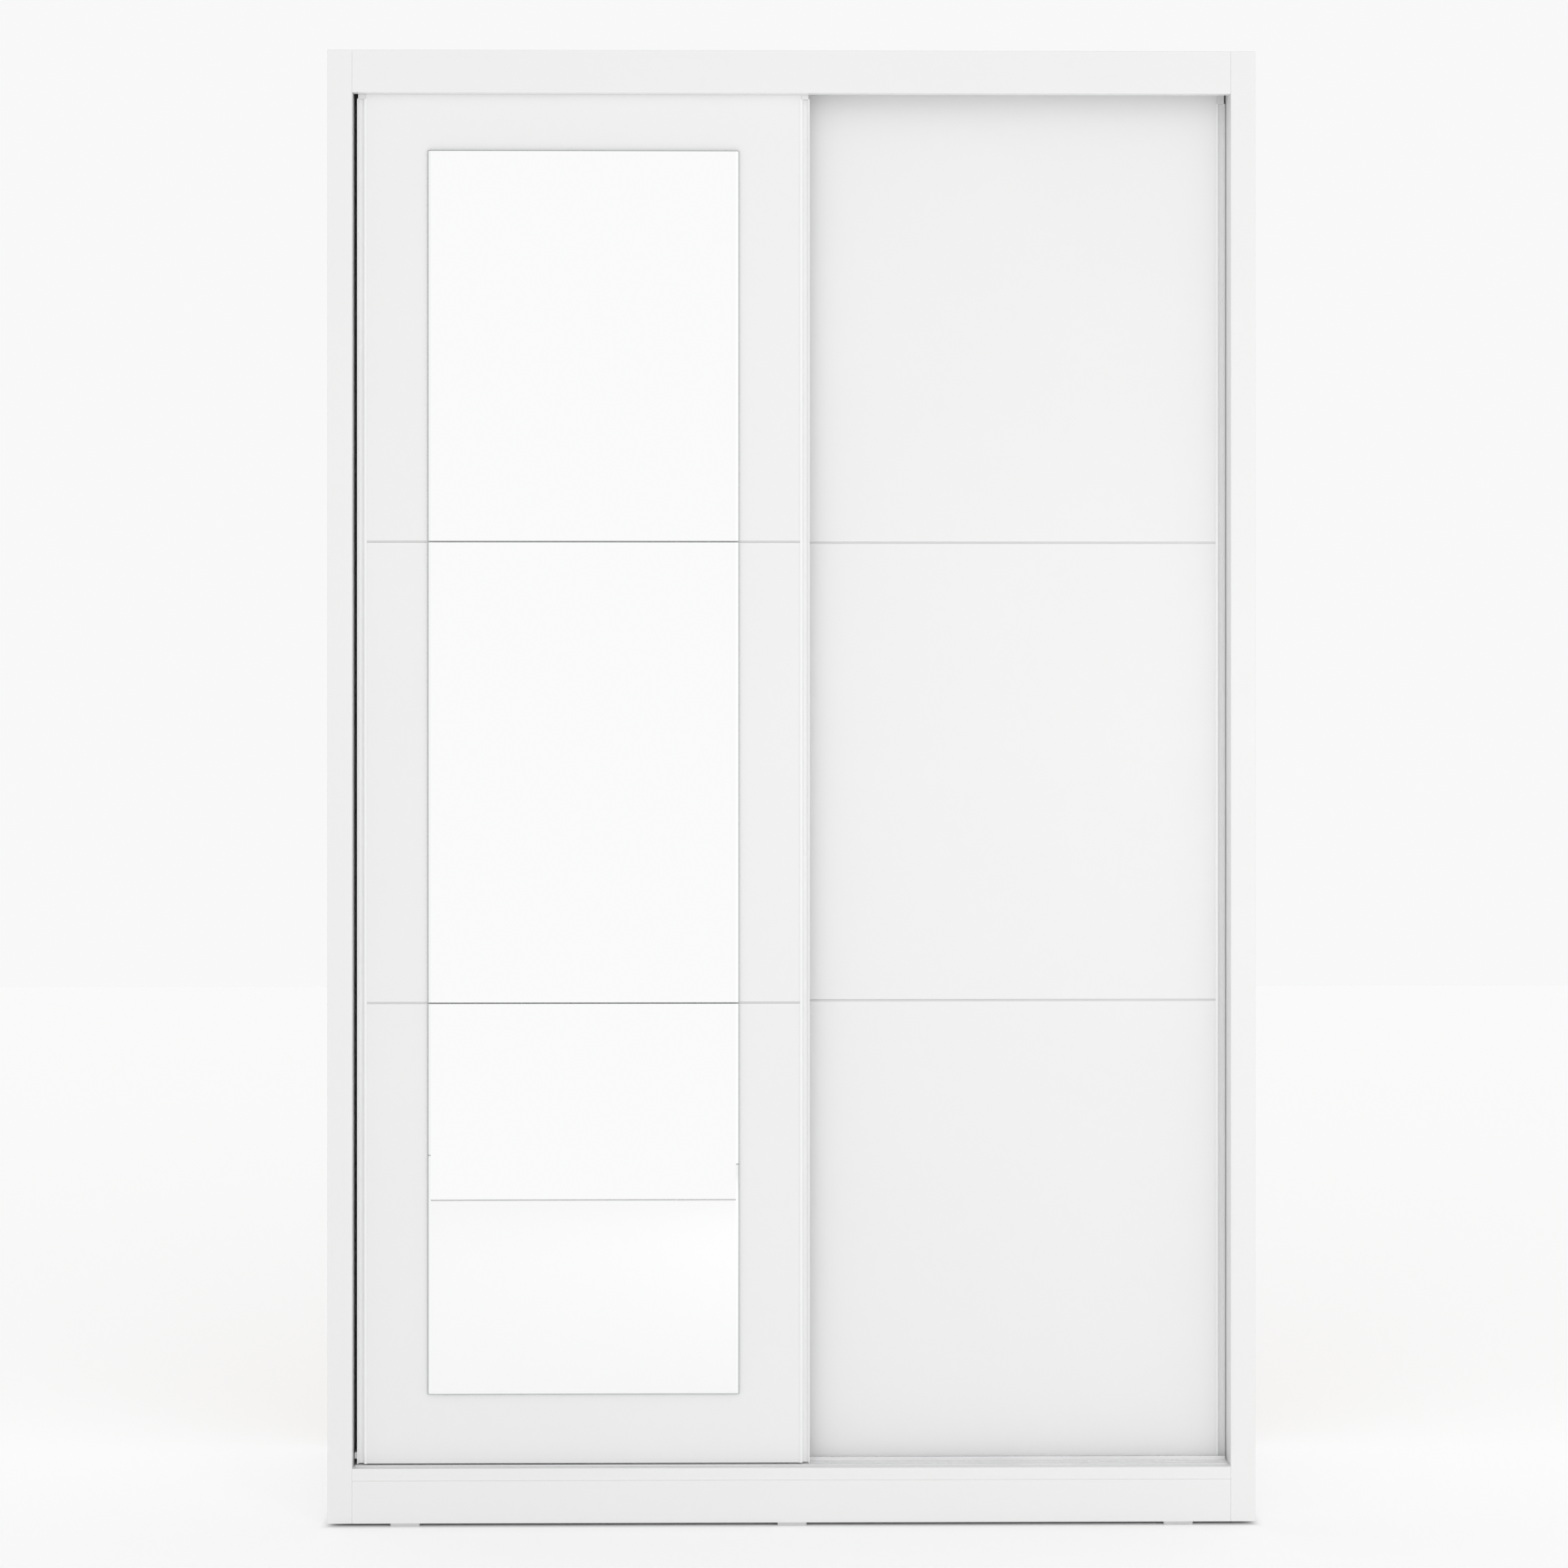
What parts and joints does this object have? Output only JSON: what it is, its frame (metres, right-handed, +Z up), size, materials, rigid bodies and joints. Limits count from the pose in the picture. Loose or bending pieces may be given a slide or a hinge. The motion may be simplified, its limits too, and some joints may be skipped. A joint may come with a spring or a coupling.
{
  "type": "sliding door wardrobe",
  "caption": "White wardrobe with sliding doors on a double track, a tall mirror on the front door, hanging space and shelves inside.",
  "frame": {"origin": "on the floor, at the middle of the width and depth", "axes": "+Z up, doors face -Y, +X to the right as seen from the front"},
  "size_m": [1.2, 0.5, 1.907],
  "materials": {
    "carcass_melamine": "satin white melamine on chipboard, faint orange peel",
    "frame_melamine": "satin white melamine on chipboard",
    "door_melamine": "satin white melamine on chipboard",
    "hardboard": "white-lacquered hardboard, matt",
    "beech": "plain beech dowel",
    "mirror_glass": "silvered float glass, bevelled long edges",
    "white_profile": "white lacquered extrusion, semi-gloss",
    "joining_strip": "white lacquered strip, satin",
    "track_aluminium": "white lacquered extrusion, worn bright on the rails",
    "zinc_steel": "zinc-plated pressed sheet",
    "bright_steel": "zinc-plated, satin",
    "chrome": "chrome-plated, polished",
    "nylon": "natural nylon, satin",
    "white_plastic": "moulded white plastic",
    "glide_plastic": "light grey moulded plastic, matt"
  },
  "bodies": {
    "carcass": {"back_nails": "bright_steel", "back_panel_left": "hardboard", "back_panel_right": "hardboard", "bottom_panel": "carcass_melamine", "bottom_track": "track_aluminium", "centre_divider": "carcass_melamine", "confirmat_screws": "bright_steel", "door_jamb_left": "carcass_melamine", "door_jamb_right": "carcass_melamine", "dowels": "beech", "fitting_screws": "bright_steel", "fixed_shelf": "carcass_melamine", "foot_glides": "glide_plastic", "front_plinth": "frame_melamine", "front_stile_left": "frame_melamine", "front_stile_right": "frame_melamine", "hanging_rail": "chrome", "hat_shelf": "carcass_melamine", "lower_shelf": "carcass_melamine", "plinth_bearers": "carcass_melamine", "rail_sockets": "chrome", "rear_plinth": "carcass_melamine", "screw_caps": "white_plastic", "shelf_pins": "bright_steel", "side_panel_left": "carcass_melamine", "side_panel_right": "carcass_melamine", "top_fascia": "frame_melamine", "top_panel": "carcass_melamine", "top_track": "track_aluminium", "upper_shelf": "carcass_melamine", "wall_brackets": "zinc_steel"},
    "front_door": {"front_door_axles": "bright_steel", "front_door_board_lower": "door_melamine", "front_door_board_middle": "door_melamine", "front_door_board_upper": "door_melamine", "front_door_bumper": "white_plastic", "front_door_carriages": "zinc_steel", "front_door_handle_left": "white_profile", "front_door_handle_right": "white_profile", "front_door_joiners": "joining_strip", "front_door_screws": "bright_steel", "front_door_top_guides": "white_plastic", "mirror_lower": "mirror_glass", "mirror_middle": "mirror_glass", "mirror_upper": "mirror_glass"},
    "rear_door": {"rear_door_axles": "bright_steel", "rear_door_board_lower": "door_melamine", "rear_door_board_middle": "door_melamine", "rear_door_board_upper": "door_melamine", "rear_door_bumper": "white_plastic", "rear_door_carriages": "zinc_steel", "rear_door_handle_left": "white_profile", "rear_door_handle_right": "white_profile", "rear_door_joiners": "joining_strip", "rear_door_screws": "bright_steel", "rear_door_top_guides": "white_plastic"},
    "front_door_wheel_left": {"front_door_wheel_left": "nylon"},
    "front_door_wheel_right": {"front_door_wheel_right": "nylon"},
    "rear_door_wheel_left": {"rear_door_wheel_left": "nylon"},
    "rear_door_wheel_right": {"rear_door_wheel_right": "nylon"}
  },
  "joints": [
    {"name": "front_door_slide", "type": "slide", "parent": "carcass", "child": "front_door", "axis": [1, 0, 0], "range_m": [0, 0.544]},
    {"name": "rear_door_slide", "type": "slide", "parent": "carcass", "child": "rear_door", "axis": [1, 0, 0], "range_m": [-0.544, 0]},
    {"name": "front_door_wheel_left_spin", "type": "hinge", "parent": "front_door", "child": "front_door_wheel_left", "pos_m": [-0.497, -0.2092, 0.0915], "axis": [0, 1, 0], "continuous": true},
    {"name": "front_door_wheel_right_spin", "type": "hinge", "parent": "front_door", "child": "front_door_wheel_right", "pos_m": [-0.043, -0.2092, 0.0915], "axis": [0, 1, 0], "continuous": true},
    {"name": "rear_door_wheel_left_spin", "type": "hinge", "parent": "rear_door", "child": "rear_door_wheel_left", "pos_m": [0.047, -0.1742, 0.0915], "axis": [0, 1, 0], "continuous": true},
    {"name": "rear_door_wheel_right_spin", "type": "hinge", "parent": "rear_door", "child": "rear_door_wheel_right", "pos_m": [0.501, -0.1742, 0.0915], "axis": [0, 1, 0], "continuous": true}
  ],
  "couplings": [
    {"joint": "front_door_wheel_left_spin", "follows": "front_door_slide", "rad_per_m": 100},
    {"joint": "front_door_wheel_right_spin", "follows": "front_door_slide", "rad_per_m": 100},
    {"joint": "rear_door_wheel_left_spin", "follows": "rear_door_slide", "rad_per_m": 100},
    {"joint": "rear_door_wheel_right_spin", "follows": "rear_door_slide", "rad_per_m": 100}
  ]
}
